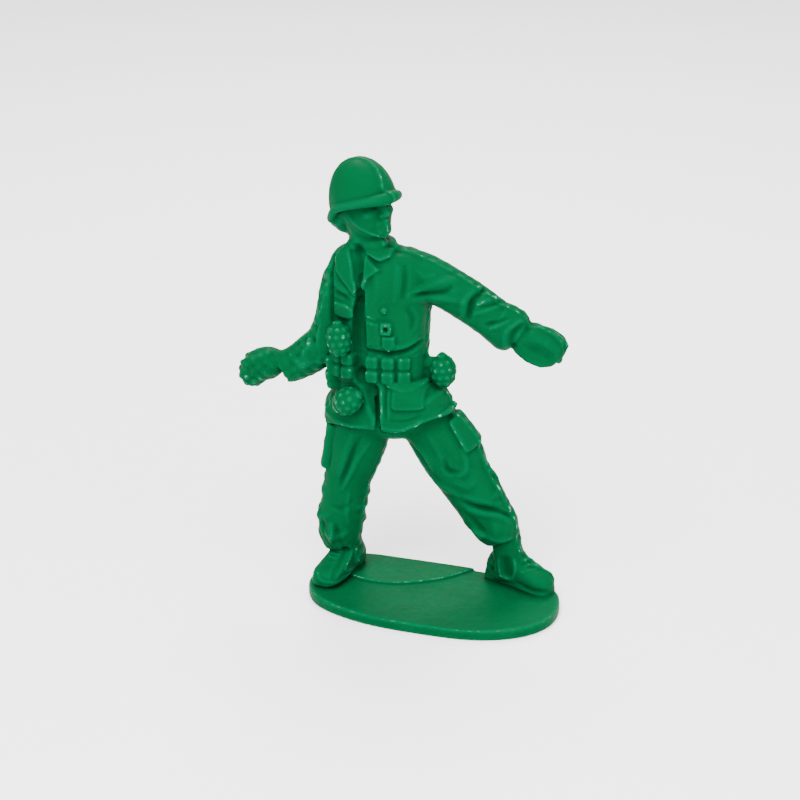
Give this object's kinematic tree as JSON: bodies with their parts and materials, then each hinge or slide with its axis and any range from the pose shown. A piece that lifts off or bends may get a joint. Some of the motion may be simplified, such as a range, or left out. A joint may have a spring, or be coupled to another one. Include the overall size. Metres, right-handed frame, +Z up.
{
  "type": "toy soldier figure",
  "caption": "Moulded plastic toy soldier on an oval base, one arm drawn back with a hand grenade and the other stretched out in front.",
  "frame": {"origin": "middle of the base's flat underside, where the figure stands", "axes": "+Z up through the figure, +X along the base's long side towards the soldier's left hand, -Y the way the chest faces"},
  "size_m": [0.0412, 0.0184, 0.0541],
  "materials": {
    "green_plastic": "satin moulded polyethylene"
  },
  "bodies": {
    "root": {"base_plate": "green_plastic", "belt_grenade": "green_plastic", "belt_pouch_left_1": "green_plastic", "belt_pouch_left_2": "green_plastic", "belt_pouch_left_3": "green_plastic", "belt_pouch_left_4": "green_plastic", "belt_pouch_left_5": "green_plastic", "belt_pouch_left_6": "green_plastic", "belt_pouch_right_1": "green_plastic", "belt_pouch_right_2": "green_plastic", "belt_pouch_right_3": "green_plastic", "belt_pouch_right_4": "green_plastic", "boot_left": "green_plastic", "boot_right": "green_plastic", "cargo_pocket_left": "green_plastic", "cargo_pocket_right": "green_plastic", "chest_buckle": "green_plastic", "chest_flap_right": "green_plastic", "chest_grenade": "green_plastic", "chest_pocket_left": "green_plastic", "chest_stud": "green_plastic", "chest_tab": "green_plastic", "collar": "green_plastic", "cuff_left": "green_plastic", "hand_left": "green_plastic", "hand_right": "green_plastic", "head": "green_plastic", "held_grenade": "green_plastic", "helmet_rim": "green_plastic", "helmet_shell": "green_plastic", "hip_grenade": "green_plastic", "jacket_skirt": "green_plastic", "jacket_torso": "green_plastic", "lapel_left": "green_plastic", "lapel_right": "green_plastic", "neck": "green_plastic", "side_pouch_right": "green_plastic", "skirt_flap_left": "green_plastic", "skirt_pocket_left": "green_plastic", "sleeve_left": "green_plastic", "sleeve_right": "green_plastic", "trouser_leg_left": "green_plastic", "trouser_leg_right": "green_plastic", "trousers_seat": "green_plastic", "web_belt": "green_plastic"}
  },
  "joints": []
}
